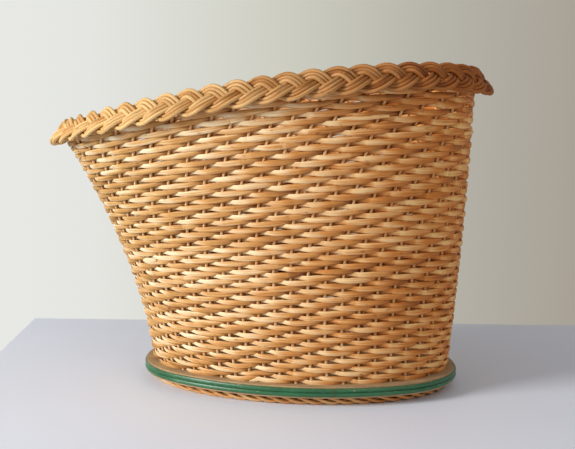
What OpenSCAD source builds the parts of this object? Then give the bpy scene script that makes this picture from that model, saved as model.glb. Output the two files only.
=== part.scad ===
// Oval cane carrier basket with a sloping rim.
// A wooden base board carries a ring of upright canes, called stakes. Flat canes, called
// weavers, run round the stakes, over two and behind one, and each course starts one stake
// further on. A broad three-strand plait closes the rim, and the tails of the stakes are
// laid round each other under the board as a foot border.
// Origin: on the ground, under the middle of the rim. +X points to the high end.

/* [Base board] */
// Length of the base, over the painted edge band
board_len = 314; // [290:1:340]
// Width of the base, over the painted edge band
board_wid = 216; // [200:1:235]
// Radius of the base at its two ends
board_end_r = 91; // [80:1:97]
// Thickness of the wooden board
board_t = 11; // [8:0.5:14]
// Distance from the outer edge of the base to the middle of the stakes
stake_inset = 12.5; // [10:0.5:15]
// Height of the painted edge band
band_h = 8.5; // [7:0.5:10]
// Thickness of the painted edge band at the top of its ridges
band_t = 1.8; // [1.2:0.1:2.4]
// Gap between the two ends of the band
band_gap = 0.8; // [0.4:0.1:2]
// Distance of that gap from the middle of the front, towards the high end
band_gap_x = 48; // [-80:1:80]

/* [Wall] */
// Length of the wall's top, between the middles of its end stakes
rim_len = 396; // [370:1:420]
// Width of the wall's top, between the middles of its side stakes
rim_wid = 248; // [230:1:270]
// How far the middle of the rim overhangs the middle of the board, towards the low end
rim_shift = 35; // [20:1:45]
// Height of the wall at its low end
rim_low = 233; // [210:1:260]
// Height of the wall halfway along
rim_mid = 278; // [265:1:295]
// Height of the wall at its high end
rim_high = 296; // [280:1:315]
// How much the rim dips towards its low end and swells towards its high end
rim_wave = 1.1; // [0:0.1:4]
// Turn of the stakes round the basket from the board to the rim, in stake spacings
stake_twist = 2.8; // [0:0.1:3.5]

/* [Cane] */
// Diameter of a stake
stake_d = 3; // [2.4:0.1:3.4]
// Number of groups of three stakes
stake_groups = 17; // [16:1:18]
// Thickness of a weaver
weaver_t = 2.4; // [1.8:0.1:2.8]
// Clearance between a weaver and the stakes that it passes
weave_gap = 0.4; // [0.3:0.05:0.6]
// Gap between one course of the weave and the next
course_gap = 0.25; // [0.1:0.05:0.5]
// Clearance between a stake and its hole in the board
hole_gap = 0.2; // [0.1:0.05:0.4]

/* [Border and foot] */
// Width of the rim plait, measured across it
plait_wid = 28.6; // [26:0.2:31]
// Tilt of the rim plait from upright, its lower edge outwards
plait_tilt = 35; // [25:1:45]
// Distance from the stakes out to the inner edge of the rim plait
plait_gap = 2; // [1:0.5:4]
// Height of the middle of the plait above the top of the wall
plait_up = 10; // [8:0.5:12]
// How far the plait sags at the high end
plait_sag = 2; // [0:0.5:5]
// Width of one strand of the plait
strand_wid = 8; // [6:0.2:8]
// Thickness of one strand of the plait
strand_t = 3; // [2.4:0.1:3.4]
// Distance from the ground to the underside of the board
foot_h = 8.5; // [7.5:0.1:10]
// Depth of the flat worn along the bottom of the foot border
foot_wear = 0.2; // [0.15:0.05:0.4]

/* [Hidden] */
// Counts. A round is one full repeat of the weave.
ROUNDS = 20;
COURSES_PER_ROUND = 3;
COURSES = ROUNDS * COURSES_PER_ROUND;
STAKES = 3 * stake_groups;
STAKE_SIDES = 5;
WALL_STEPS = 6;
COURSE_STRIPS = 6;
STRAND_STEPS = 7;
OVAL_STEPS = 180;
// Place of the first stake, as a share of a turn round the oval
FIRST_STAKE = 0.7637;
// Share of the wall's flare, shift and twist that is even from board to rim
END_FLARE = 0.6;
SHIFT_FLARE = 0.124;
EARLY_TWIST = -0.612;
// How much the courses open out towards the rim
COURSE_OPENING = 0.099;
// Steepest angle at which a weaver crosses from one side of the stakes to the other
WEAVE_SLOPE = 24;
// How far the strips of a course run past the ends of the wall
STRIP_REACH = 1.08;
// Stops along the tail of a stake, in stake spacings. The bottom of the twist is at 1.5.
TAIL_STOPS = [2.8, 2.5, 2, 1.65, 1.35, 0.7, 0];
// Radius of the twist of the tails, in stake diameters
COIL_RATIO = 0.7;
// Swing of a strand across the thickness of the plait, in strand thicknesses
PLAIT_LIFT = 1.3;
// How closely the sag of the plait keeps to the high end
SAG_REACH = 6;
// Where a strand is in its swing as it passes its first stake: furthest back, so that the
// end of the stake fits behind it
STRAND_START = 45;
// Distance from the back of a strand to the end of the stake behind it
TIP_GAP = 1.2;
// Step and overlap where the end arcs of the band run into its side arcs
BAND_STEP = 0.04;
BAND_LAP = 0.6;
DEG = 180 / PI;

cane = "#d9a55c";
cane_dark = "#b9803e";
board_wood = "#b08a5a";
band_green = "#2f7f5f";

board_top = foot_h + board_t;
band_z = foot_h + (board_t - band_h) / 2;
plait_half = (plait_wid - strand_wid) / 2;
plait_depth = PLAIT_LIFT * strand_t;
plait_out = plait_wid * sin(plait_tilt) / 2 + plait_gap;
coil_r = COIL_RATIO * stake_d;
coil_z = coil_r + stake_d / 2 * cos(180 / STAKE_SIDES) - foot_wear;

function round_name(r) = str("weave_round_", r < 10 ? "0" : "", r);

// ---- Shape of the wall. A level t runs from 0 at the board to 1 at the rim. ----
function flare(t, share) = share * t + (1 - share) * t * t;
function half_len(t) =
    let (foot = board_len / 2 - stake_inset)
    foot + (rim_len / 2 - foot) * flare(t, END_FLARE);
function half_wid(t) =
    let (foot = board_wid / 2 - stake_inset)
    foot + (rim_wid / 2 - foot) * flare(t, END_FLARE);
function middle_x(t) = rim_shift * (1 - flare(t, SHIFT_FLARE));
function rim_z(u) =
    rim_mid + (rim_high - rim_low) / 2 * u - (rim_mid - (rim_high + rim_low) / 2) * u * u
    + rim_wave * sin(180 * u);
function level_z(t, u) = board_top + t * (rim_z(u) - board_top);
function course_level(c) =
    let (s = c / COURSES)
    (1 - COURSE_OPENING) * s + COURSE_OPENING * s * s;

// Angle of stake i round the oval at level t, so that the stakes stand evenly along it.
function stake_turn(t) = stake_twist * flare(t, EARLY_TWIST) / STAKES;
function stake_angle(i, t) =
    let (turn = 360 * (FIRST_STAKE + i / STAKES + stake_turn(t)))
    let (a = half_len(t))
    let (b = half_wid(t))
    turn + DEG / 4 * (a * a - b * b) / (a * a + b * b) * sin(2 * turn);
function wall_normal(i, t) =
    let (q = stake_angle(i, t))
    let (v = [cos(q) / half_len(t), sin(q) / half_wid(t), 0])
    v / norm(v);
function wall_point(i, t) =
    let (q = stake_angle(i, t))
    [middle_x(t) + half_len(t) * cos(q), half_wid(t) * sin(q), level_z(t, cos(q))];
// How far a stake moves for each millimetre that it rises.
function wall_slope(i, t) =
    let (step = wall_point(i, t + 0.01) - wall_point(i, t - 0.01))
    step / step[2];

// ---- Tubes and ribbons swept along a list of points ----
function unit(v) = v / norm(v);
function path_dir(path, k, closed) =
    let (last = len(path) - 1)
    let (after = k < last ? path[k + 1] : closed ? path[0] : path[last])
    let (before = k > 0 ? path[k - 1] : closed ? path[last] : path[0])
    unit(after - before);
function section(centre, dir, side, shape) =
    let (across = unit(side - dir * (side * dir)))
    let (up = cross(dir, across))
    [for (s = shape) centre + across * s[0] + up * s[1]];
function quads(rings, n, closed) = [
    for (k = [0:rings - (closed ? 1 : 2)])
        for (j = [0:n - 1])
            let (a = k * n)
            let (b = ((k + 1) % rings) * n)
            let (next = (j + 1) % n)
            [a + j, b + j, b + next, a + next]
];
module swept(path, sides, shape, closed) {
    n = len(shape);
    rings = len(path);
    points = [
        for (k = [0:rings - 1])
            each section(path[k], path_dir(path, k, closed), sides[k], shape)
    ];
    caps = closed ? [] : [
        [for (j = [0:n - 1]) j],
        [for (j = [n - 1:-1:0]) (rings - 1) * n + j]
    ];
    polyhedron([for (p = points) [p[0], p[1], max(p[2], 0)]], concat(quads(rings, n, closed), caps));
}

// ---- Base ----
// An oval of four arcs, drawn a distance cut inside the outer edge of the base.
side_r = (pow(board_len / 2, 2) - board_len * board_end_r + pow(board_wid / 2, 2))
    / (board_wid - 2 * board_end_r);
end_centre = board_len / 2 - board_end_r;
side_centre = side_r - board_wid / 2;
side_half_angle = atan2(end_centre, side_centre);
function oval_point(k, cut) =
    let (turn = 360 * k / OVAL_STEPS)
    let (quarter = turn % 180)
    let (flip = turn < 180 ? 1 : -1)
    let (side = abs(quarter - 90) < side_half_angle)
    let (x_sign = quarter < 90 ? 1 : -1)
    flip * (side
        ? [0, -side_centre] + (side_r - cut) * [cos(quarter), sin(quarter)]
        : [x_sign * end_centre, 0] + (board_end_r - cut) * [cos(quarter), sin(quarter)]);

module base_board() {
    color(board_wood)
    difference() {
        translate([rim_shift, 0, foot_h])
            linear_extrude(board_t)
                polygon([for (k = [0:OVAL_STEPS - 1]) oval_point(k, band_t)]);
        for (i = [0:STAKES - 1]) {
            p = wall_point(i, 0);
            translate([p[0], p[1], foot_h - 1])
                cylinder(d = stake_d + 2 * hole_gap, h = board_t + 2, $fn = 24);
        }
    }
}

// Two rounded ridges with a groove between them, standing on the edge of the board.
module band_arc(radius, from, to, inset = 0) {
    ridge = band_h / 4;
    outer = radius - inset;
    bulge = [for (a = [-75:30:75]) [cos(a), sin(a)]];
    profile = concat(
        [[radius - band_t + inset, inset]],
        [for (p = bulge) [outer - band_t * (1 - p[0]), ridge * (1 + p[1])]],
        [for (p = bulge) [outer - band_t * (1 - p[0]), ridge * (3 + p[1])]],
        [[radius - band_t + inset, band_h - inset]]
    );
    rotate_extrude(angle = to - from, start = from, $fn = 180) polygon(profile);
}
// The end arcs run a little way into the side arcs, a hair smaller, so the band is one strip.
module edge_band() {
    joint = atan2(band_gap_x, side_r);
    half_gap = band_gap / side_r * DEG / 2;
    lap = BAND_LAP / board_end_r * DEG;
    color(band_green)
    translate([rim_shift, 0, band_z]) {
        translate([0, side_centre, 0]) {
            band_arc(side_r, -90 - side_half_angle, -90 + joint - half_gap);
            band_arc(side_r, -90 + joint + half_gap, -90 + side_half_angle);
        }
        translate([0, -side_centre, 0])
            band_arc(side_r, 90 - side_half_angle, 90 + side_half_angle);
        translate([end_centre, 0, 0])
            band_arc(board_end_r, side_half_angle - 90 - lap, 90 - side_half_angle + lap, BAND_STEP);
        translate([-end_centre, 0, 0])
            band_arc(board_end_r, 90 + side_half_angle - lap, 270 - side_half_angle + lap, BAND_STEP);
    }
}

// ---- Stakes: foot tail, shank through the board, wall and tip ----
// The tail of stake i winds once round its neighbours, one third of a turn per stake.
function tail_point(i, run) =
    let (p = wall_point(i + run, 0))
    let (phase = 120 * run)
    [p[0], p[1], coil_z] + coil_r * (sin(phase) * wall_normal(i + run, 0) + [0, 0, cos(phase)]);
function stake_tip(i) =
    plait_point(i, STRAND_START) - plait_face(i) * (strand_t / 2 + TIP_GAP);
module stake(i) {
    tail = [for (run = TAIL_STOPS) tail_point(i, run)];
    wall = [for (k = [0:WALL_STEPS]) wall_point(i, k / WALL_STEPS)];
    path = concat(tail, wall, [stake_tip(i)]);
    tail_sides = [for (k = tail) [0, 0, 1]];
    other_sides = [for (k = [0:len(path) - len(tail) - 1]) wall_normal(i, 0)];
    shape = [
        for (j = [0:STAKE_SIDES - 1])
            let (turn = 360 * j / STAKE_SIDES)
            stake_d / 2 * [cos(turn), sin(turn)]
    ];
    swept(path, concat(tail_sides, other_sides), shape, false);
}
module stakes() {
    color(cane_dark) for (i = [0:STAKES - 1]) stake(i);
}

// ---- Weave ----
// A weaver stands off the stakes by its own thickness and by what their lean takes up.
function stand_off(i, t, course_h) =
    let (slope = wall_slope(i, t))
    let (lean = abs(slope * wall_normal(i, t)))
    (stake_d / 2 * norm(slope) + weave_gap) / cos(WEAVE_SLOPE) + weaver_t / 2 + lean * course_h / 2;
function passes_behind(i, c) = (i - c + COURSES) % 3 == 2;
module course(c) {
    t = course_level(c - 0.5);
    lower = course_level(c - 1);
    upper = course_level(c);
    course_h = level_z(upper, 0) - level_z(lower, 0);
    off = [for (i = [0:STAKES - 1]) (passes_behind(i, c) ? -1 : 1) * stand_off(i, t, course_h)];
    outline = [
        for (side = [1, -1])
            for (i = [0:STAKES - 1])
                let (p = wall_point(i, t) + (off[i] + side * weaver_t / 2) * wall_normal(i, t))
                [p[0], p[1]]
    ];
    half = STRIP_REACH * half_len(t);
    xs = [for (k = [0:COURSE_STRIPS]) middle_x(t) + half * (2 * k / COURSE_STRIPS - 1)];
    bed = [for (x = xs) [x, level_z(lower, (x - middle_x(lower)) / half_len(lower))]];
    top = [
        for (k = [len(xs) - 1:-1:0])
            [xs[k], level_z(upper, (xs[k] - middle_x(upper)) / half_len(upper)) - course_gap]
    ];
    intersection() {
        linear_extrude(2 * rim_high)
            polygon(outline, [[for (i = [0:STAKES - 1]) i], [for (i = [0:STAKES - 1]) STAKES + i]]);
        rotate([90, 0, 0])
            translate([0, 0, -rim_wid])
                linear_extrude(2 * rim_wid)
                    polygon(concat(bed, top));
    }
}
module weave_round(r) {
    color(cane)
    for (k = [1:COURSES_PER_ROUND]) course(COURSES_PER_ROUND * (r - 1) + k);
}

// ---- Rim plait ----
function plait_face(i) =
    cos(plait_tilt) * wall_normal(i, 1) + [0, 0, sin(plait_tilt)];
function plait_rise(i) =
    -sin(plait_tilt) * wall_normal(i, 1) + [0, 0, cos(plait_tilt)];
function plait_height(i) =
    plait_up - plait_sag * pow(max(cos(stake_angle(i, 1)), 0), SAG_REACH);
function plait_point(i, phase) =
    wall_point(i, 1) + plait_out * wall_normal(i, 1) + [0, 0, plait_height(i)]
        + plait_half * sin(phase) * plait_rise(i)
        - plait_depth * sin(2 * phase) * plait_face(i);
// Each strand swings across the plait once in three stakes. It lies over the others as it
// leaves either edge, and passes under them on its way to the next one.
module plait_strand(s) {
    steps = STRAND_STEPS * stake_groups;
    path = [
        for (k = [0:steps - 1])
            let (i = STAKES * k / steps)
            plait_point(i, STRAND_START + 120 * (i - s))
    ];
    sides = [for (k = [0:steps - 1]) plait_face(STAKES * k / steps)];
    shape = [
        [strand_t / 2, strand_wid / 4], [0, strand_wid / 2], [-strand_t / 2, strand_wid / 4],
        [-strand_t / 2, -strand_wid / 4], [0, -strand_wid / 2], [strand_t / 2, -strand_wid / 4]
    ];
    color(cane) swept(path, sides, shape, true);
}

base_board();
edge_band();
stakes();
for (r = [1:ROUNDS])
    weave_round(r);
plait_strand(0);  // plait_strand_1
plait_strand(1);  // plait_strand_2
plait_strand(2);  // plait_strand_3
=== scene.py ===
# %% [markdown]
# # An oval cane basket
# This basket is made of a wooden board with a painted band round its edge, upright canes
# called stakes, and flat-oval canes called weavers that run round the stakes. A plait of nine
# thin canes closes the rim. The model's frame already holds each piece at its size, so this
# script gives every cane its rounded shape, its grain and its colour, and then lights the
# basket.

# %% Load the frame
import bpy
import math
import numpy as np
from mathutils import Vector, Matrix
from mathutils.kdtree import KDTree


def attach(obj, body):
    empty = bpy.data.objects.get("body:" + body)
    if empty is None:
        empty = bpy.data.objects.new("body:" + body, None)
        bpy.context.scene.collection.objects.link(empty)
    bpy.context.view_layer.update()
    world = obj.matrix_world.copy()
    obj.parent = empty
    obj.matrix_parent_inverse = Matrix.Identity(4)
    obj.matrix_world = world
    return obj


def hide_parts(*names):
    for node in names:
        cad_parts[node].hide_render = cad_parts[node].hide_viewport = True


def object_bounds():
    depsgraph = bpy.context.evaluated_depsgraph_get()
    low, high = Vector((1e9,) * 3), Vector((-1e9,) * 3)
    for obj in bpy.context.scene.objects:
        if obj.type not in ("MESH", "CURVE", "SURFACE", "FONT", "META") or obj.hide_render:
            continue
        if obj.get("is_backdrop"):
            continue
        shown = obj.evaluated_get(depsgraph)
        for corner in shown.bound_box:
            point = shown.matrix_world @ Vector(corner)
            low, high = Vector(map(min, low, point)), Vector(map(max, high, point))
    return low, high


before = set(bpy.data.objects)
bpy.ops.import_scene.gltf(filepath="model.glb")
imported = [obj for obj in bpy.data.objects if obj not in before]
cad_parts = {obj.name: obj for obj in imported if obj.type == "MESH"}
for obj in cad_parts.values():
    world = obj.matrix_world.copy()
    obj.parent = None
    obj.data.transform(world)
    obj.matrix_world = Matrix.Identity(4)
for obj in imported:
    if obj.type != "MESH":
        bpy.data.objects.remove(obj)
cad_box = [list(corner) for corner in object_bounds()]
MM = 0.001
chance = np.random.default_rng(17)
print("CAD box in mm:", [[round(v / MM, 1) for v in corner] for corner in cad_box])


# %% [markdown]
# ## The shape of the wall
# Every cane follows the wall, so the wall is worked out first. It could be a lofted surface
# that the canes are snapped to, but a few formulas are exact and cheap: an oval that grows,
# slides and turns as the level t rises from 0 at the board to 1 at the rim. A place along
# the wall is counted in stakes, so 2.5 is halfway between the third stake and the fourth.

# %% The wall
STAKES, COURSES = 51, 60
BOARD_TOP, BOARD_HALF = 19.5, (144.5, 95.5)
RIM_HALF, RIM_SHIFT = (198.0, 124.0), 35.0
RIM_LOW, RIM_MID, RIM_HIGH, RIM_WAVE = 233.0, 278.0, 296.0, 1.1
TWIST, FIRST_STAKE = 2.8, 0.7637
# The share of each change that comes evenly with the level, the rest of it coming late. A
# share below 0 starts the change backwards, as the lean of the stakes does.
GROWTH, SLIDE, TURNING, STACKING = 0.6, 0.124, -0.612, 0.901


def eased(t, share):
    return share * t + (1 - share) * t * t


def half_sides(t):
    grown = eased(t, GROWTH)
    return [b + (r - b) * grown for b, r in zip(BOARD_HALF, RIM_HALF)]


def turn_at(place, t):
    """The angle round the oval, corrected so that stakes stand about evenly apart."""
    turn = 2 * np.pi * (FIRST_STAKE + (place + TWIST * eased(t, TURNING)) / STAKES)
    a, b = half_sides(t)
    return turn + (a * a - b * b) / (a * a + b * b) / 4 * np.sin(2 * turn)


def wall_point(place, t):
    """Points on the middle of the wall, in mm."""
    place, t = np.broadcast_arrays(np.asarray(place, float), np.asarray(t, float))
    q, (a, b) = turn_at(place, t), half_sides(t)
    u = np.cos(q)
    rim = RIM_MID + (RIM_HIGH - RIM_LOW) / 2 * u - (RIM_MID - (RIM_HIGH + RIM_LOW) / 2) * u * u
    rim = rim + RIM_WAVE * np.sin(np.pi * u)
    middle = RIM_SHIFT * (1 - eased(t, SLIDE))
    return np.stack([middle + a * u, b * np.sin(q), BOARD_TOP + t * (rim - BOARD_TOP)], -1)


def wall_normal(place, t):
    """The level direction straight out of the wall."""
    q, (a, b) = turn_at(np.asarray(place, float), t), half_sides(t)
    n = np.stack([np.cos(q) / a, np.sin(q) / b, 0 * q], -1)
    return n / np.linalg.norm(n, axis=-1, keepdims=True)


def wall_lean(place, t):
    """The angle by which the wall leans outwards."""
    step = wall_point(place, t + 0.01) - wall_point(place, t - 0.01)
    return np.arctan2((step * wall_normal(place, t)).sum(-1), step[..., 2])


def course_level(c):
    return eased(c / COURSES, STACKING)


rim_heights = wall_point(np.arange(STAKES), 1.0)[:, 2]
print("rim height in mm: from", rim_heights.min().round(), "to", rim_heights.max().round())


# %% [markdown]
# ## Sums between shader sockets
# A finish is a small calculation: some grain, plus some wear, times a mask. Wiring Math nodes
# by hand hides that. This class lets plain signs such as + and * add the nodes.

# %% Shader sums
class Wire:
    def __init__(self, finish, socket):
        self.finish, self.socket = finish, socket

    def sum(self, operation, other):
        return self.finish.add("Math", {"operation": operation}, [self, other])

    def __add__(self, other):
        return self.sum("ADD", other)

    def __sub__(self, other):
        return self.sum("SUBTRACT", other)

    def __mul__(self, other):
        return self.sum("MULTIPLY", other)

    def clipped(self):
        return self.finish.add("Clamp", {}, [self])

    __radd__ = __add__


def paint(r, g, b):
    """A colour as a paint chart gives it, from 0 to 255, as the shader wants it."""
    return tuple(((v / 255 + 0.055) / 1.055) ** 2.4 for v in (r, g, b)) + (1.0,)


class Finish:
    def __init__(self, name):
        self.material = bpy.data.materials.new(name)
        self.material.use_nodes = True
        self.tree = self.material.node_tree
        self.shader = self.tree.nodes["Principled BSDF"]

    def plug(self, value, socket):
        if isinstance(value, Wire):
            self.tree.links.new(value.socket, socket)
        else:
            socket.default_value = value

    def add(self, kind, settings, sockets, out=0):
        """Adds a node: its settings first, then its sockets by place or by name."""
        node = self.tree.nodes.new("ShaderNode" + kind)
        for key, value in settings.items():
            setattr(node, key, value)
        pairs = sockets.items() if isinstance(sockets, dict) else enumerate(sockets)
        for key, value in pairs:
            self.plug(value, node.inputs[key])
        return Wire(self, node.outputs[out])

    def here(self):
        return self.add("TexCoord", {}, {}, "Object")

    def read(self, name, out="Fac"):
        return self.add("Attribute", {"attribute_name": name}, {}, out)

    def along(self, direction):
        """How far a point lies along a direction, times the direction's length."""
        sockets = [self.here(), direction]
        return self.add("VectorMath", {"operation": "DOT_PRODUCT"}, sockets, "Value")

    def noise(self, vector, scale, detail=2.0, rough=0.5):
        sockets = {"Vector": vector, "Scale": scale, "Detail": detail, "Roughness": rough}
        return self.add("TexNoise", {}, sockets, "Fac")

    def drawn(self, vector, often, detail=2.0, rough=0.5):
        """Noise that repeats about as often in a metre, each way, as the three numbers say."""
        stretched = self.add("Mapping", {}, {"Vector": vector, "Scale": often}, "Vector")
        return self.noise(stretched, 1.0, detail, rough)

    def ramp(self, factor, *stops):
        """Colours by place from 0 to 1: the two ends first, then those between."""
        wire = self.add("ValToRGB", {}, {"Fac": factor}, "Color")
        elements = wire.socket.node.color_ramp.elements
        for k, (place, colour) in enumerate(stops):
            stop = elements[k] if k < 2 else elements.new(place)
            stop.position, stop.color = place, colour
        return wire

    def mix(self, factor, a, b):
        return self.add("Mix", {"data_type": "RGBA"}, {0: factor, 6: a, 7: b}, 2)

    def bumped(self, height, depth, strength):
        sockets = {"Strength": strength, "Distance": depth, "Height": height}
        return self.add("Bump", {}, sockets, "Normal")

    def dress(self, **sockets):
        for key, value in sockets.items():
            self.plug(value, self.shader.inputs[key.replace("_", " ")])
        return self.material


print("shader sums ready")


# %% [markdown]
# ## The finish of the canes
# Cane is a bundle of straight fibres, so its grain runs along it and never across. A wood
# texture on Object coordinates would cut through a bent cane, so each cane carries its own
# measure instead: how far along it a point is, and where in its round or oval section. Noise
# that is stretched along that measure gives fibres that follow every bend. Each cane also
# carries painted light and shade: where it dives behind a stake it is painted a deeper
# orange-brown as painted shade, and where a float comes out towards the window it is painted
# paler as a painted highlight. Each finish has one set of colours for the window's end of the
# basket and one for the far end, and goes over from one to the other along the basket. The
# far end's colours are darker and more orange: partly painted shade of the side that faces
# away from the window, partly the canes' own colour.

# %% Cane finishes
# How often each pattern repeats in a metre, along the cane and both ways across it
FIBRE, STREAK, STAIN, KNOT = (22, 900, 900), (9, 260, 260), (34, 60, 60), (120, 300, 300)
TO_FAR_END = (3.0, 0.6, 0.0)  # how fast the canes go over to the far end's colours, per metre along each axis
MID_PLACE = 0.42


def cane_ramp(f, shade, colours):
    pale, middle, deep = colours
    return f.ramp(shade, (0.0, pale), (1.0, deep), (MID_PLACE, middle))


def cane_finish(name, window_end, far_end, shine):
    """The colours for the window's end and for the far end each hold a pale, a middle and a deep
    colour. The far end's are darker and more orange: partly painted shade of the side away from
    the window, partly the canes' own colour.
    """
    f = Finish(name)
    place = f.read("grain", "Vector")
    tone, painted_shade = f.read("tone"), f.read("painted_shade")
    fibre, streak = f.drawn(place, FIBRE, 3.0, 0.6), f.drawn(place, STREAK)
    stain = f.drawn(place, STAIN)
    shade = 0.04 + tone * 0.34 + (fibre - 0.5) * 1.0 + (streak - 0.5) * 0.6 + (stain - 0.5) * 0.5
    # Painted light and shade: each cane's painted shade darkens it where it dives behind a stake,
    # and pales it as a painted highlight where a float comes out towards the window.
    shade = (shade + painted_shade * 0.66).clipped()
    # Partly painted shade: towards the right end, and a little towards the back, the canes go over
    # to the far end's darker, more orange colours, partly as painted shade of the side away from
    # the window and partly as the canes' own colour.
    far_end_shade_and_tint = (f.along(TO_FAR_END) + 0.5 + (stain - 0.5) * 0.3).clipped()
    colour = f.mix(far_end_shade_and_tint, cane_ramp(f, shade, window_end), cane_ramp(f, shade, far_end))
    knot = ((f.drawn(place, KNOT, 1.0) - 0.69) * 9).clipped()
    return f.dress(
        Base_Color=f.mix(knot * 0.5, colour, far_end[2]),
        Roughness=0.4 + fibre * 0.22,
        Normal=f.bumped(fibre + streak * 0.6, 0.00035, 0.55),
        Specular_IOR_Level=0.22,
        Coat_Weight=shine,
        Coat_Roughness=0.3,
    )


weaver_finish = cane_finish(
    "weaver_cane",
    (paint(250, 236, 202), paint(214, 168, 102), paint(124, 70, 18)),
    (paint(240, 190, 118), paint(208, 124, 48), paint(102, 40, 4)),
    0.06,
)
stake_finish = cane_finish(
    "stake_cane",
    (paint(242, 208, 158), paint(224, 170, 108), paint(156, 90, 38)),
    (paint(232, 178, 112), paint(212, 136, 66), paint(132, 66, 20)),
    0.04,
)
plait_finish = cane_finish(
    "plait_cane",
    (paint(236, 200, 138), paint(188, 128, 56), paint(88, 42, 6)),
    (paint(170, 98, 36), paint(122, 58, 14), paint(44, 16, 2)),
    0.08,
)
print("cane finishes:", weaver_finish.name, stake_finish.name, plait_finish.name)


# %% [markdown]
# ## Board and painted band
# The board is old softwood, greyed on top where hands and dust reach. The band is gloss
# paint over wood. Scuffs show paler paint, a few chips go through to the wood, and both its
# edges are worn brown. Both pieces keep the frame's own shape, so only their finish is made.

# %% Board and band finishes
BAND_MIDDLE, BAND_FLAT = 0.014, 0.0037  # metres up to its middle, and from there to its edges


def board_finish():
    f = Finish("board_wood")
    place = f.here()
    grain = f.drawn(place, (26, 420, 420), 4.0, 0.6)
    dust = f.noise(place, 60.0, 3.0)
    colour = f.ramp(
        (grain * 0.7 + dust * 0.5 - 0.1).clipped(),
        (0.0, paint(204, 176, 134)),
        (1.0, paint(108, 82, 56)),
        (0.55, paint(168, 138, 100)),
    )
    normal = f.bumped(grain, 0.0003, 0.5)
    return f.dress(Base_Color=colour, Roughness=0.6 + grain * 0.2, Normal=normal)


def band_finish():
    f = Finish("band_paint")
    place = f.here()
    cloud = f.noise(place, 45.0, 3.0)
    brushed = f.drawn(place, (40, 40, 900))
    scuff = ((f.drawn(place, (150, 150, 700), 3.0, 0.65) - 0.62) * 12).clipped()
    chip = ((f.drawn(place, (230, 230, 420)) - 0.71) * 30).clipped()
    rise = f.add("SeparateXYZ", {}, {"Vector": place}, "Z")
    from_middle = f.add("Math", {"operation": "ABSOLUTE"}, [rise - BAND_MIDDLE])
    patchy = (f.noise(place, 260.0) - 0.5) * 4
    worn = ((from_middle - BAND_FLAT) * 1500 + patchy).clipped()
    shade = cloud * 0.6 + brushed * 0.4
    green = f.ramp(shade, (0.25, paint(24, 78, 44)), (0.75, paint(50, 116, 74)))
    green = f.mix(scuff * 0.6, green, paint(150, 176, 140))
    green = f.mix(chip, green, paint(206, 184, 146))
    green = f.mix(worn * 0.75, green, paint(122, 92, 56))
    return f.dress(
        Base_Color=green,
        Roughness=0.4 + scuff * 0.25 + worn * 0.2,
        Normal=f.bumped(brushed * 0.6 - chip, 0.0003, 0.6),
        Coat_Weight=0.15,
        Coat_Roughness=0.3,
    )


for node, finish in (("base_board", board_finish()), ("edge_band", band_finish())):
    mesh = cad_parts[node].data
    mesh.materials.clear()
    mesh.materials.append(finish)
    print(node, "dressed in", finish.name)


# %% [markdown]
# ## How a cane is made
# A cane is a curve with a small oval as its bevel. A mesh could be extruded step by step
# along the same path, but a curve holds the section upright by itself, and its tilt leans
# the oval with the wall. The curve is then made a mesh. Each point of that mesh looks up the
# nearest point of its own path, and takes its measure along the cane, its tone and its
# painted shade.

# %% Cane maker
GRAIN_SPREAD = 40.0  # each cane takes its grain from its own place in this many metres


def pick_none():
    bpy.ops.object.select_all(action="DESELECT")


def pick(*things):
    pick_none()
    for thing in things:
        thing.select_set(True)
    bpy.context.view_layer.objects.active = things[0]


def oval(width, height, flat=1.0, fine=2):
    """The cut end of a cane, in mm: width goes through the wall, and flat squares its face."""
    pick_none()
    bpy.ops.curve.primitive_bezier_circle_add(radius=0.5 * MM)
    ring = bpy.context.object
    ring.data.resolution_u = fine
    for point in ring.data.splines[0].bezier_points:
        point.handle_left_type = point.handle_right_type = "FREE"
        stretch = flat if abs(point.co.x) > abs(point.co.y) else 1.0
        point.handle_left = point.co + (point.handle_left - point.co) * stretch
        point.handle_right = point.co + (point.handle_right - point.co) * stretch
    ring.scale = (width, height, 1)
    bpy.ops.object.transform_apply(location=False, rotation=False, scale=True)
    ring.hide_render = True
    return ring


def cane(name, path, section, closed=True, tilt=0.0, swell=1.0, tone=0.5, painted_shade=0.0, upright=True):
    """One cane along path, in mm. Its tilt, swell, tone and painted shade may vary along it."""
    n = len(path)
    tilt, swell, tone, painted_shade = (
        np.broadcast_to(np.asarray(v, float), n) for v in (tilt, swell, tone, painted_shade)
    )
    pick_none()
    bpy.ops.curve.primitive_nurbs_path_add(radius=1, location=(0, 0, 0))
    rod = bpy.context.object
    rod.name = name
    rod.data.splines.clear()
    spline = rod.data.splines.new("POLY")
    spline.points.add(n - 1)
    flat = np.concatenate([path * MM, np.ones((n, 1))], 1)
    spline.points.foreach_set("co", flat.ravel())
    spline.points.foreach_set("tilt", tilt.copy())
    spline.points.foreach_set("radius", swell.copy())
    spline.use_cyclic_u = closed
    rod.data.dimensions = "3D"
    rod.data.twist_mode = "Z_UP" if upright else "MINIMUM"
    rod.data.bevel_mode = "OBJECT"
    rod.data.bevel_object = section
    rod.data.use_fill_caps = not closed
    pick(rod)
    bpy.ops.object.convert(target="MESH")
    measure(rod.data, path, tone, painted_shade)
    bpy.ops.object.shade_smooth()
    return rod


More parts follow.
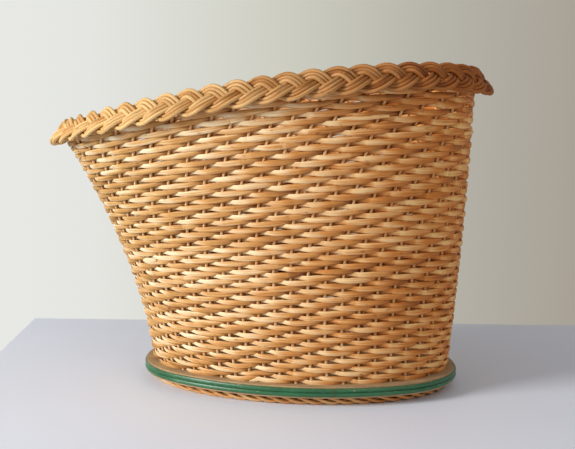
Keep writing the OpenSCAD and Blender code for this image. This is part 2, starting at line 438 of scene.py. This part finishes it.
def measure(mesh, path, tone, painted_shade):
    """Writes each point's measure along the cane and across it, its tone and its painted light and
    shade.
    """
    near = KDTree(len(path))
    for k, point in enumerate(path * MM):
        near.insert(point, k)
    near.balance()
    points = np.empty(len(mesh.vertices) * 3)
    mesh.vertices.foreach_get("co", points)
    points = points.reshape(-1, 3)
    which = np.array([near.find(point)[1] for point in points])
    steps = np.linalg.norm(np.diff(path, axis=0), axis=1)
    along = np.concatenate([[0], np.cumsum(steps)]) * MM
    off = points - path[which] * MM
    ahead = np.roll(path, -1, axis=0) - np.roll(path, 1, axis=0)
    ahead[0], ahead[-1] = path[1] - path[0], path[-1] - path[-2]
    side = np.stack([ahead[:, 1], -ahead[:, 0], 0 * ahead[:, 0]], -1)
    side /= np.maximum(np.linalg.norm(side, axis=1, keepdims=True), 1e-9)
    start = chance.uniform(0, GRAIN_SPREAD)
    grain = np.stack([along[which] + start, (off * side[which]).sum(1), off[:, 2]], -1)
    mesh.attributes.new("grain", "FLOAT_VECTOR", "POINT").data.foreach_set("vector", grain.ravel())
    for name, values in (("tone", tone), ("painted_shade", painted_shade)):
        mesh.attributes.new(name, "FLOAT", "POINT").data.foreach_set("value", values[which])


def bundle(name, rods, finish, slot, *nodes):
    """Joins canes into one finished piece that stands for the given nodes."""
    pick(*rods)
    bpy.ops.object.join()
    piece = bpy.context.object
    piece.name = piece.data.name = name
    piece.data.materials.clear()
    piece.data.materials.append(finish)
    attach(piece, "root")
    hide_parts(*nodes)
    return piece


def sway(place, size, pace, start):
    """A slow wave along the wall, for the drift of a hand or of a colour."""
    return size * np.sin(place * pace + start)


STAKE_D, PLAIT_ROD_D = 3.0, 3.8
weaver_section, rod_section = oval(2.7, 6.4, 1.2, 3), oval(STAKE_D, STAKE_D)
plait_section = oval(PLAIT_ROD_D, PLAIT_ROD_D)
print("cane sections ready")


# %% [markdown]
# ## One float of the weave
# A weaver passes in front of two stakes and behind one, and each course starts one stake
# further on. Its path is therefore a wave with a beat of three stakes: in, out over two, and
# in again. A sine would make that wave, but a real float isn't even. It comes out from behind
# its stake thin and high, swells as it crosses the next two, sags, and goes in again, which
# leaves a small dark wedge beside each stake. So one float is written as a table, and every
# course reads between its rows.

# %% One float
STEPS = 6  # path points from one stake to the next
FULL_PITCH = 4.7  # the height of a course in mm at which a float has the sizes given here
# Stakes past the one that hides the start, mm out of the wall, mm up, size, and painted
# shade: above 0 it is painted shade, deepest where the float goes behind a stake; below 0 it
# is a painted highlight where the float comes out towards the window
FLOAT = (
    (0.0, -2.7, -0.1, 0.8, 1.0),
    (0.12, -2.1, 0.5, 0.7, 0.5),
    (0.25, -0.9, 1.2, 0.59, 0.0),
    (0.4, 0.4, 1.3, 0.6, -0.2),
    (0.6, 1.4, 0.9, 0.7, -0.2),
    (0.85, 2.3, 0.2, 0.79, -0.1),
    (1.1, 2.7, -0.2, 0.84, 0.04),
    (1.5, 2.9, -0.3, 0.96, 0.24),
    (2.0, 2.8, -0.5, 0.84, 0.38),
    (2.3, 2.4, -0.4, 0.78, 0.46),
    (2.55, 1.5, -0.2, 0.74, 0.55),
    (2.75, 0.0, -0.1, 0.74, 0.68),
    (2.88, -1.6, -0.1, 0.78, 0.9),
    (3.0, -2.7, -0.1, 0.8, 1.0),
)


def float_at(place, c):
    """Course c's depth, lift, size and painted shade, and how many stakes it is past a hidden
    start.
    """
    phase = (place - (c + 2)) % 3
    rows = np.array(FLOAT).T
    return [np.interp(phase, rows[0], row) for row in rows[1:]] + [phase]


print("float of", len(FLOAT), "rows")


# %% [markdown]
# ## The path of a course
# The table alone would give a weave as even as a machine's, so the hand and the years are
# laid over it. Each course wanders a little. At a few named places two courses have drifted
# apart. On one side the first course is missing, and those above have sunk into its room. To
# the right and behind, the weave is tighter, and the floats are blunter there.

# %% Path of a course
# Places where two courses have drifted apart: the lower course, the stake, half the
# length in stakes and the opening in mm
SLITS = (
    (59, -0.7, 0.35, 1.3), (59, 0.0, 0.4, 1.3), (58, 1.6, 0.35, 1.0), (56, 4.4, 0.5, 2.0),
    (56, 5.6, 0.7, 2.0), (55, 4.2, 0.6, 1.5), (53, 4.5, 0.3, 1.0), (59, 8.6, 0.5, 1.8),
    (54, 9.2, 0.3, 1.2), (51, 8.9, 0.3, 1.0),
)
MISSING = (-14.5, -12.5, -3.6, -2.4)  # the gap in the first course, with a slope at each end
SINK, SINKING = 4.3, 10  # mm that the second course sinks, and how many courses sink with it
LOWEST = 0.42  # no course comes nearer to the board than this share of its height
TO_RIGHT, TO_BACK = (30, 80), (-30, 60)  # where the tight weave sets in, and over how many mm


def settled(place):
    """1 where the first course is missing and those above have sunk in its place, else 0."""
    at = (place + 20) % STAKES - 20
    return np.interp(at, MISSING, (0, 1, 1, 0))


def tightness(place, t):
    """0 on the front, where the floats are pointed, and 1 to the right and behind."""
    x, y, _ = wall_point(place, t).T
    right, back = (x - TO_RIGHT[0]) / TO_RIGHT[1], (y - TO_BACK[0]) / TO_BACK[1]
    return np.clip(np.maximum(right, back), 0, 1)


def course_path(c, place, depth, lift):
    """The path of course c, and the height of the course along it."""
    a, b, d = chance.uniform(0, 2 * np.pi, 3)
    wander = sway(place, 0.2, 0.9, a) + sway(place, 0.16, 0.37, b)
    t = course_level(c - 0.5)
    full = wall_point(place, 1.0)[:, 2] - BOARD_TOP
    pitch = (course_level(c) - course_level(c - 1)) * full
    depth = depth + sway(place, 0.2, 0.61, d)
    path = wall_point(place, t) + wall_normal(place, t) * depth[:, None]
    path[:, 2] += (lift + wander) * pitch / FULL_PITCH
    for low, where, reach, opening in SLITS:
        if c in (low, low + 1):
            off = (place - where + STAKES / 2) % STAKES - STAKES / 2
            path[:, 2] += (c - low - 0.5) * opening * np.exp(-((off / reach) ** 2))
    path[:, 2] -= SINK * np.clip(1 - (c - 2) / SINKING, 0, 1) * settled(place)
    path[:, 2] = np.maximum(path[:, 2], BOARD_TOP + LOWEST * pitch)
    return path, pitch


print("slits:", len(SLITS))


# %% [markdown]
# ## One course
# A course is a closed ring. A spiral would be truer, but a ring can be given its own place
# and height, and its joint is hidden behind a stake. The rings start at places of their own,
# so no seam runs up the wall. The first course is the only open one: it starts with a blunt
# cut end that lies in front of its stakes.

# %% One course
LEAST_SIZE, TIGHT_SIZE = 0.5, 0.3  # the least size of a float, and what tightness adds to it
TIGHT_PAINTED_SHADE, TIGHT_UNTIL = 0.4, 0.8  # painted shade added to a tight float's start, up to this many stakes
FRESH_UNTIL, FRESH_FADE = 2.6, 1.6  # the stakes that a blunt start takes, and fades out over
FRESH_SIZE, FRESH_TONE, FRESH_DEPTH = 0.88, -0.15, 2.4


def weaver_course(c, begin=0.0, end=float(STAKES), closed=True):
    joint = chance.integers(20, STAKES)
    n = int(round((end - begin) * STEPS)) + (0 if closed else 1)
    place = np.linspace(begin, end, n, endpoint=not closed) + closed * joint
    t = course_level(c - 0.5)
    # The float's shade is painted light and shade: painted shade towards the stakes it goes behind,
    # a painted highlight where it comes out.
    depth, lift, size, shade, phase = float_at(place, c)
    path, pitch = course_path(c, place, depth, lift)
    tight = tightness(place, t)
    seam = chance.uniform(0, STAKES)
    tones = chance.uniform(0.1, 0.95, 2)
    tone = np.where(place % STAKES < seam, *tones) + sway(place, 0.12, 0.5, seam)
    size = np.maximum(size, LEAST_SIZE + TIGHT_SIZE * tight)
    # Painted shade: where the weave is tight, each float's start is painted darker.
    shade = shade + TIGHT_PAINTED_SHADE * tight * (phase < TIGHT_UNTIL)
    if not closed:
        fresh = np.clip((begin + FRESH_UNTIL - place) / FRESH_FADE, 0, 1)
        # The blunt start lies in front of its stakes, so its painted shade fades out.
        size, shade = size + (FRESH_SIZE - size) * fresh, shade * (1 - fresh)
        tone = tone * (1 - fresh) + FRESH_TONE * fresh
        path += wall_normal(place, t) * (np.clip(FRESH_DEPTH - depth, 0, 6) * fresh)[:, None]
    return cane(
        f"course_{c:02d}", path, weaver_section, closed, tilt=wall_lean(place, t),
        swell=size * pitch / FULL_PITCH, tone=tone, painted_shade=shade,
    )


print("courses are drawn with", STEPS, "points to a stake")


# %% [markdown]
# ## The wall of the basket
# Sixty courses are built as the basket maker lays them, three to a round, because the weave
# comes back to its start after three. A few pieced-in ends lie loose on the outside.

# %% Weave
ROUND = 3
FIRST_COURSE = (-3.05, 38.0)  # the stakes that the open course runs from and to
# Ends that show on the outside: the course, and the stakes they run from and to
LOOSE_ENDS = (
    (55.6, 1.1, 3.4), (51.5, 8.6, 10.4), (30.5, -9.2, -8.1), (38.5, 17.0, 18.4), (22.5, 27.3, 28.6),
)
END_POINTS, END_DEPTHS, END_TONE = 16, (2.2, 4.6), -0.2
END_SIZES = (0, 0.12, 0.7, 1), (0.4, 0.62, 0.66, 0.4)  # how far along, and the size there


def loose_end(c, begin, end):
    """A pieced-in end that lies on the outside of its course and tapers both ways."""
    place = np.linspace(begin, end, END_POINTS)
    t = course_level(c - 0.5)
    depth = np.linspace(*END_DEPTHS, END_POINTS)
    path = wall_point(place, t) + wall_normal(place, t) * depth[:, None]
    taper = np.interp(np.linspace(0, 1, END_POINTS), *END_SIZES)
    lean = wall_lean(place, t)
    return cane(f"end_{c}", path, weaver_section, False, tilt=lean, swell=taper, tone=END_TONE)


faces = 0
for r in range(1, COURSES // ROUND + 1):
    rods = [weaver_course(c) for c in range(ROUND * (r - 1) + 1, ROUND * r + 1) if c > 1]
    if r == 1:
        rods.append(weaver_course(1, *FIRST_COURSE, closed=False))
    rods += [loose_end(*end) for end in LOOSE_ENDS if (end[0] - 1) // ROUND == r - 1]
    piece = bundle(f"weave_{r:02d}", rods, weaver_finish, "cane", f"weave_round_{r:02d}")
    faces += len(piece.data.polygons)
print("weave:", COURSES, "courses,", faces, "faces")


# %% [markdown]
# ## The middle of the plait
# The rim's plait leans outwards over the wall, on a middle line of its own. The stakes end in
# it, so the line is worked out before them. It could be drawn by hand round the rim, but tied
# to the wall's formulas it follows the rim's slope. It dips where the rim is highest.

# %% Middle of the plait
PLAIT_WID, PLAIT_GAP = 28.6, 2
PLAIT_TILT, PLAIT_UP, PLAIT_SAG = math.radians(35), 10.0, 6.0
PLAIT_OUT = PLAIT_WID * math.sin(PLAIT_TILT) / 2 + PLAIT_GAP
# At its high end the plait dips, leans further out and widens, the more so the nearer to it
HIGH_REACH, HIGH_LEAN, HIGH_SWING = 9, 0.06, 0.15


def high_end(place):
    """1 at the high end of the rim, and 0 soon beside it."""
    return np.maximum(np.cos(turn_at(place, 1.0)), 0) ** HIGH_REACH


def across_plait(place):
    """The plait's own directions: out of its face, and up across its width."""
    n = wall_normal(place, 1.0)
    up = np.array([0, 0, 1.0])
    lean = (PLAIT_TILT + HIGH_LEAN * high_end(place))[..., None]
    return np.cos(lean) * n + np.sin(lean) * up, np.cos(lean) * up - np.sin(lean) * n


def plait_middle(place):
    middle = wall_point(place, 1.0) + PLAIT_OUT * wall_normal(place, 1.0)
    middle[..., 2] += PLAIT_UP - PLAIT_SAG * high_end(place)
    return middle


print("the plait's middle stands", round(PLAIT_OUT, 1), "mm out of the wall")


# %% [markdown]
# ## The stakes and the foot border
# Each stake starts as a tail that winds under the board with its two neighbours, passes up
# through the board, and climbs the wall, leaning round the basket as it goes. It ends inside
# the plait. The tail and the stake could be two pieces that meet in the board's hole, but the
# whole stake is one cane, as it is on the real basket.

# %% Stakes
COIL_R, FOOT_WEAR = 2.65, 0.15
COIL_Z = COIL_R + STAKE_D / 2 - FOOT_WEAR
TAIL_RUN, TAIL_POINTS, WALL_POINTS = 2.8, 18, 22  # the run is in stakes
TIP_UP, TIP_IN = 7.0, 3.4  # mm from the plait's middle to where a stake ends
# painted shade on the tails that wind under the board
TAIL_PAINTED_SHADE = 0.25


def stake(i):
    run = np.linspace(TAIL_RUN, 0, TAIL_POINTS)
    phase = 2 * np.pi / 3 * run
    tail = wall_point(i + run, 0.0)
    tail[:, 2] = COIL_Z + COIL_R * np.cos(phase)
    tail += wall_normal(i + run, 0.0) * (COIL_R * np.sin(phase))[:, None]
    wall = wall_point(i, np.linspace(0, 1, WALL_POINTS))
    face, rise = across_plait(float(i))
    tip = plait_middle(float(i)) + TIP_UP * rise - TIP_IN * face
    path = np.concatenate([tail, wall, tip[None]])
    # The tail under the board gets painted shade.
    painted_shade = np.where(np.arange(len(path)) < TAIL_POINTS, TAIL_PAINTED_SHADE, 0.0)
    return cane(
        f"stake_{i:02d}", path, rod_section, False, tone=chance.uniform(0, 0.7),
        painted_shade=painted_shade, upright=False,
    )


rods = [stake(i) for i in range(STAKES)]
stakes = bundle("stakes_canes", rods, stake_finish, "stake_cane", "stakes")
print("stakes:", STAKES, "canes,", len(stakes.data.polygons), "faces")


# %% [markdown]
# ## The rim plait
# Three strands swing from edge to edge of the plait, each one beat in three behind the last.
# A strand lies over its neighbour as it leaves an edge, and passes under on its way to the
# next. The beats are even along the rim and don't keep time with the stakes. On the basket
# each strand is three thin canes side by side, so nine canes are made.

# %% Plait
PLAIT_HALF, PLAIT_DEPTH, ROD_GAP = 9.5, 2.8, 3.6
BEATS, FIRST_BEAT, FIRST_SWING = 48, 0.97, math.radians(45)
ROD_POINTS, RIM_POINTS = 16 * 22, 2041


def plait_beat(place):
    """The beat that a place on the rim is at, counted by the length of the rim."""
    round_rim = np.linspace(0, STAKES, RIM_POINTS)
    steps = np.linalg.norm(np.diff(plait_middle(round_rim), axis=0), axis=1)
    run = np.concatenate([[0], np.cumsum(steps)])
    return BEATS * np.interp(place, round_rim, run) / run[-1] + FIRST_BEAT


def strand_middle(place, strand):
    phase = FIRST_SWING + 2 * np.pi / 3 * (plait_beat(place) - strand)
    face, rise = across_plait(place)
    swing = PLAIT_HALF * np.sin(phase) * (1 + HIGH_SWING * high_end(place))
    over = -PLAIT_DEPTH * np.sin(2 * phase)
    return plait_middle(place) + rise * swing[:, None] + face * over[:, None], face


def plait_rods(strand):
    place = np.linspace(0, STAKES, ROD_POINTS, endpoint=False)
    middle, face = strand_middle(place, strand)
    ahead = np.roll(middle, -1, 0) - np.roll(middle, 1, 0)
    ahead /= np.linalg.norm(ahead, axis=1, keepdims=True)
    width = np.cross(ahead, face)
    width /= np.linalg.norm(width, axis=1, keepdims=True)
    rods = []
    for k in (-1, 0, 1):
        tone = chance.uniform(0, 0.9) + sway(place, 0.15, 0.7, k)
        path = middle + width * (k * ROD_GAP)
        rods.append(cane(f"rod_{strand}_{k + 1}", path, plait_section, tone=tone))
    return rods


for s in (0, 1, 2):
    piece = bundle(f"plait_{s + 1}", plait_rods(s), plait_finish, "cane", f"plait_strand_{s + 1}")
    print(piece.name, len(piece.data.polygons), "faces")
for ring in (weaver_section, rod_section, plait_section):
    bpy.data.objects.remove(ring)


# %% [markdown]
# ## The table
# The basket stands on a pale table, with its back and left edges in sight. A table with
# thickness and legs would be truer, but only its top is ever seen, so it is one plane. It
# lies a hair under the basket's foot, so that the two never fight for the same place.

# %% Table
TABLE_SIDE, TABLE_TURN, TABLE_AT = 2.4, math.radians(8), (1.031, -0.806, -0.0002)
pick_none()
bpy.ops.mesh.primitive_plane_add(size=1, location=(0, 0, 0))
table = bpy.context.object
table.name = "table_top"
table.scale = (TABLE_SIDE, TABLE_SIDE, 1)
table.rotation_euler = (0, 0, TABLE_TURN)
table.location = TABLE_AT
bpy.ops.object.transform_apply(location=True, rotation=True, scale=True)
f = Finish("table_top")
cloud = f.noise(f.here(), 3.0)
colour = f.ramp(cloud, (0.3, paint(230, 236, 250)), (0.7, paint(235, 241, 255)))
table.data.materials.append(f.dress(Base_Color=colour, Roughness=0.55))
table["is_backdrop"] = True
print("table top:", [round(v, 2) for v in table.dimensions])


# %% [markdown]
# ## The wall of the room
# A pale wall stands behind the table, brighter on the window's side. Lamps that lit it would
# light the basket too. So the wall glows by itself in colours that change across it. Only
# eye, mirror and glass rays see the glow, and all others pass through the wall.

# %% Wall of the room
YAW, PITCH, ROLL = -0.1453, 0.1323, 0.0121  # the camera's aim, which the wall stands square to
WALL_AT, WALL_SIZE = (-0.317, 2.31, 0.9), (6, 4)
GLOW_SPAN, GLOW_START = 1.72, 0.49  # metres that the colours span, and where 0 falls in them
pick_none()
bpy.ops.mesh.primitive_plane_add(size=1, location=WALL_AT)
room_wall = bpy.context.object
room_wall.name = "room_wall"
room_wall.scale = (*WALL_SIZE, 1)
room_wall.rotation_euler = (math.radians(90), 0, -YAW)
bpy.ops.object.transform_apply(location=True, rotation=True, scale=True)
f = Finish("room_wall")
across = f.along((math.cos(YAW) / GLOW_SPAN, -math.sin(YAW) / GLOW_SPAN, 0)) + GLOW_START
# The ramp is painted window light: pale on the window's side of the wall, greyer away from it.
painted_wall_light = f.ramp(
    across,
    (0.0, paint(232, 233, 229)),
    (1.0, paint(168, 161, 150)),
    (0.16, paint(229, 230, 225)),
    (0.48, paint(206, 206, 194)),
    (0.75, paint(182, 179, 169)),
)
rays = [f.add("LightPath", {}, {}, f"Is {ray} Ray") for ray in ("Camera", "Glossy", "Transmission")]
glow = f.add("Emission", {}, {"Color": painted_wall_light, "Strength": 1.0})
choice = [(rays[0] + rays[1] + rays[2]).clipped(), f.add("BsdfTransparent", {}, {}), glow]
f.plug(f.add("MixShader", {}, choice), f.tree.nodes["Material Output"].inputs["Surface"])
f.tree.nodes.remove(f.shader)
room_wall.data.materials.append(f.material)
room_wall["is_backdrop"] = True
print("room wall:", [round(v, 2) for v in room_wall.dimensions])


# %% [markdown]
# ## Light
# Soft light comes from a window on the left, at about three times the rim's height, and a
# little from the room on the right. A sun would cut hard shadows between the canes, so both
# are wide round lamps. The world adds an even glow from all sides. Where it is seen past the
# wall, eye and glass rays get a plain pale colour in its place.

# %% Light
def lamp(name, place, target, size, power, colour):
    pick_none()
    bpy.ops.object.light_add(type="AREA", location=place)
    light = bpy.context.object
    light.name = name
    light.data.shape, light.data.size = "DISK", size
    light.data.energy, light.data.color = power, colour
    light.rotation_euler = (Vector(target) - Vector(place)).to_track_quat("-Z", "Y").to_euler()


LIT_SPOT, WORLD_GLOW = (0, 0, 0.15), 0.38
lamp("window", (-1.65, -1.3, 0.9), LIT_SPOT, size=0.9, power=48, colour=(1.0, 0.99, 0.97))
lamp("room", (1.3, -1.8, 1.3), LIT_SPOT, size=1.6, power=5, colour=(1.0, 0.95, 0.88))
world = bpy.data.worlds.new("pale_room")
bpy.context.scene.world = world
world.use_nodes = True
tree = world.node_tree
background, output = tree.nodes["Background"], tree.nodes["World Output"]
background.inputs["Color"].default_value = (1.0, 0.97, 0.93, 1)
background.inputs["Strength"].default_value = WORLD_GLOW
seen = tree.nodes.new("ShaderNodeBackground")
seen.inputs["Color"].default_value = paint(216, 217, 214)
rays = tree.nodes.new("ShaderNodeLightPath")
either = tree.nodes.new("ShaderNodeMath")
either.operation, either.use_clamp = "ADD", True
choose = tree.nodes.new("ShaderNodeMixShader")
for start, end in (
    (rays.outputs["Is Camera Ray"], either.inputs[0]),
    (rays.outputs["Is Transmission Ray"], either.inputs[1]),
    (either.outputs[0], choose.inputs[0]),
    (background.outputs[0], choose.inputs[1]),
    (seen.outputs[0], choose.inputs[2]),
    (choose.outputs[0], output.inputs["Surface"]),
):
    tree.links.new(start, end)
print("window, room light and pale room ready")


# %% [markdown]
# ## Camera
# The camera looks a little down on the basket from the front. It could track a target, but
# three angles say more plainly how it is turned, dipped and rolled.

# %% Camera
CAMERA_AT, SENSOR, LENS = (0.18965, -1.15159, 0.31038), 36, 73.708
pick_none()
bpy.ops.object.camera_add(location=CAMERA_AT)
camera = bpy.context.object
ahead = Vector((math.sin(YAW), math.cos(YAW), 0))
right = Vector((math.cos(YAW), -math.sin(YAW), 0))
look = ahead * math.cos(PITCH) - Vector((0, 0, 1)) * math.sin(PITCH)
up = Vector((0, 0, 1)) * math.cos(PITCH) + ahead * math.sin(PITCH)
side = right * math.cos(ROLL) + up * math.sin(ROLL)
top = up * math.cos(ROLL) - right * math.sin(ROLL)
turned = Matrix((side, top, -look)).transposed().to_4x4()
camera.matrix_world = Matrix.Translation(camera.location) @ turned
camera.data.sensor_width, camera.data.lens = SENSOR, LENS
bpy.context.scene.camera = camera
bpy.context.scene.view_settings.view_transform = "Standard"
print("camera", [round(v, 3) for v in camera.location])


# %% [markdown]
# ## The size against the frame
# The finished basket has to keep the frame's size, so its box is measured and its growth over the
# frame's box is printed.

# %% Finish
made_box = [list(corner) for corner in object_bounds()]
grown = (np.array(made_box) - np.array(cad_box)) / MM
print("grown in mm:", grown.round(1).tolist())
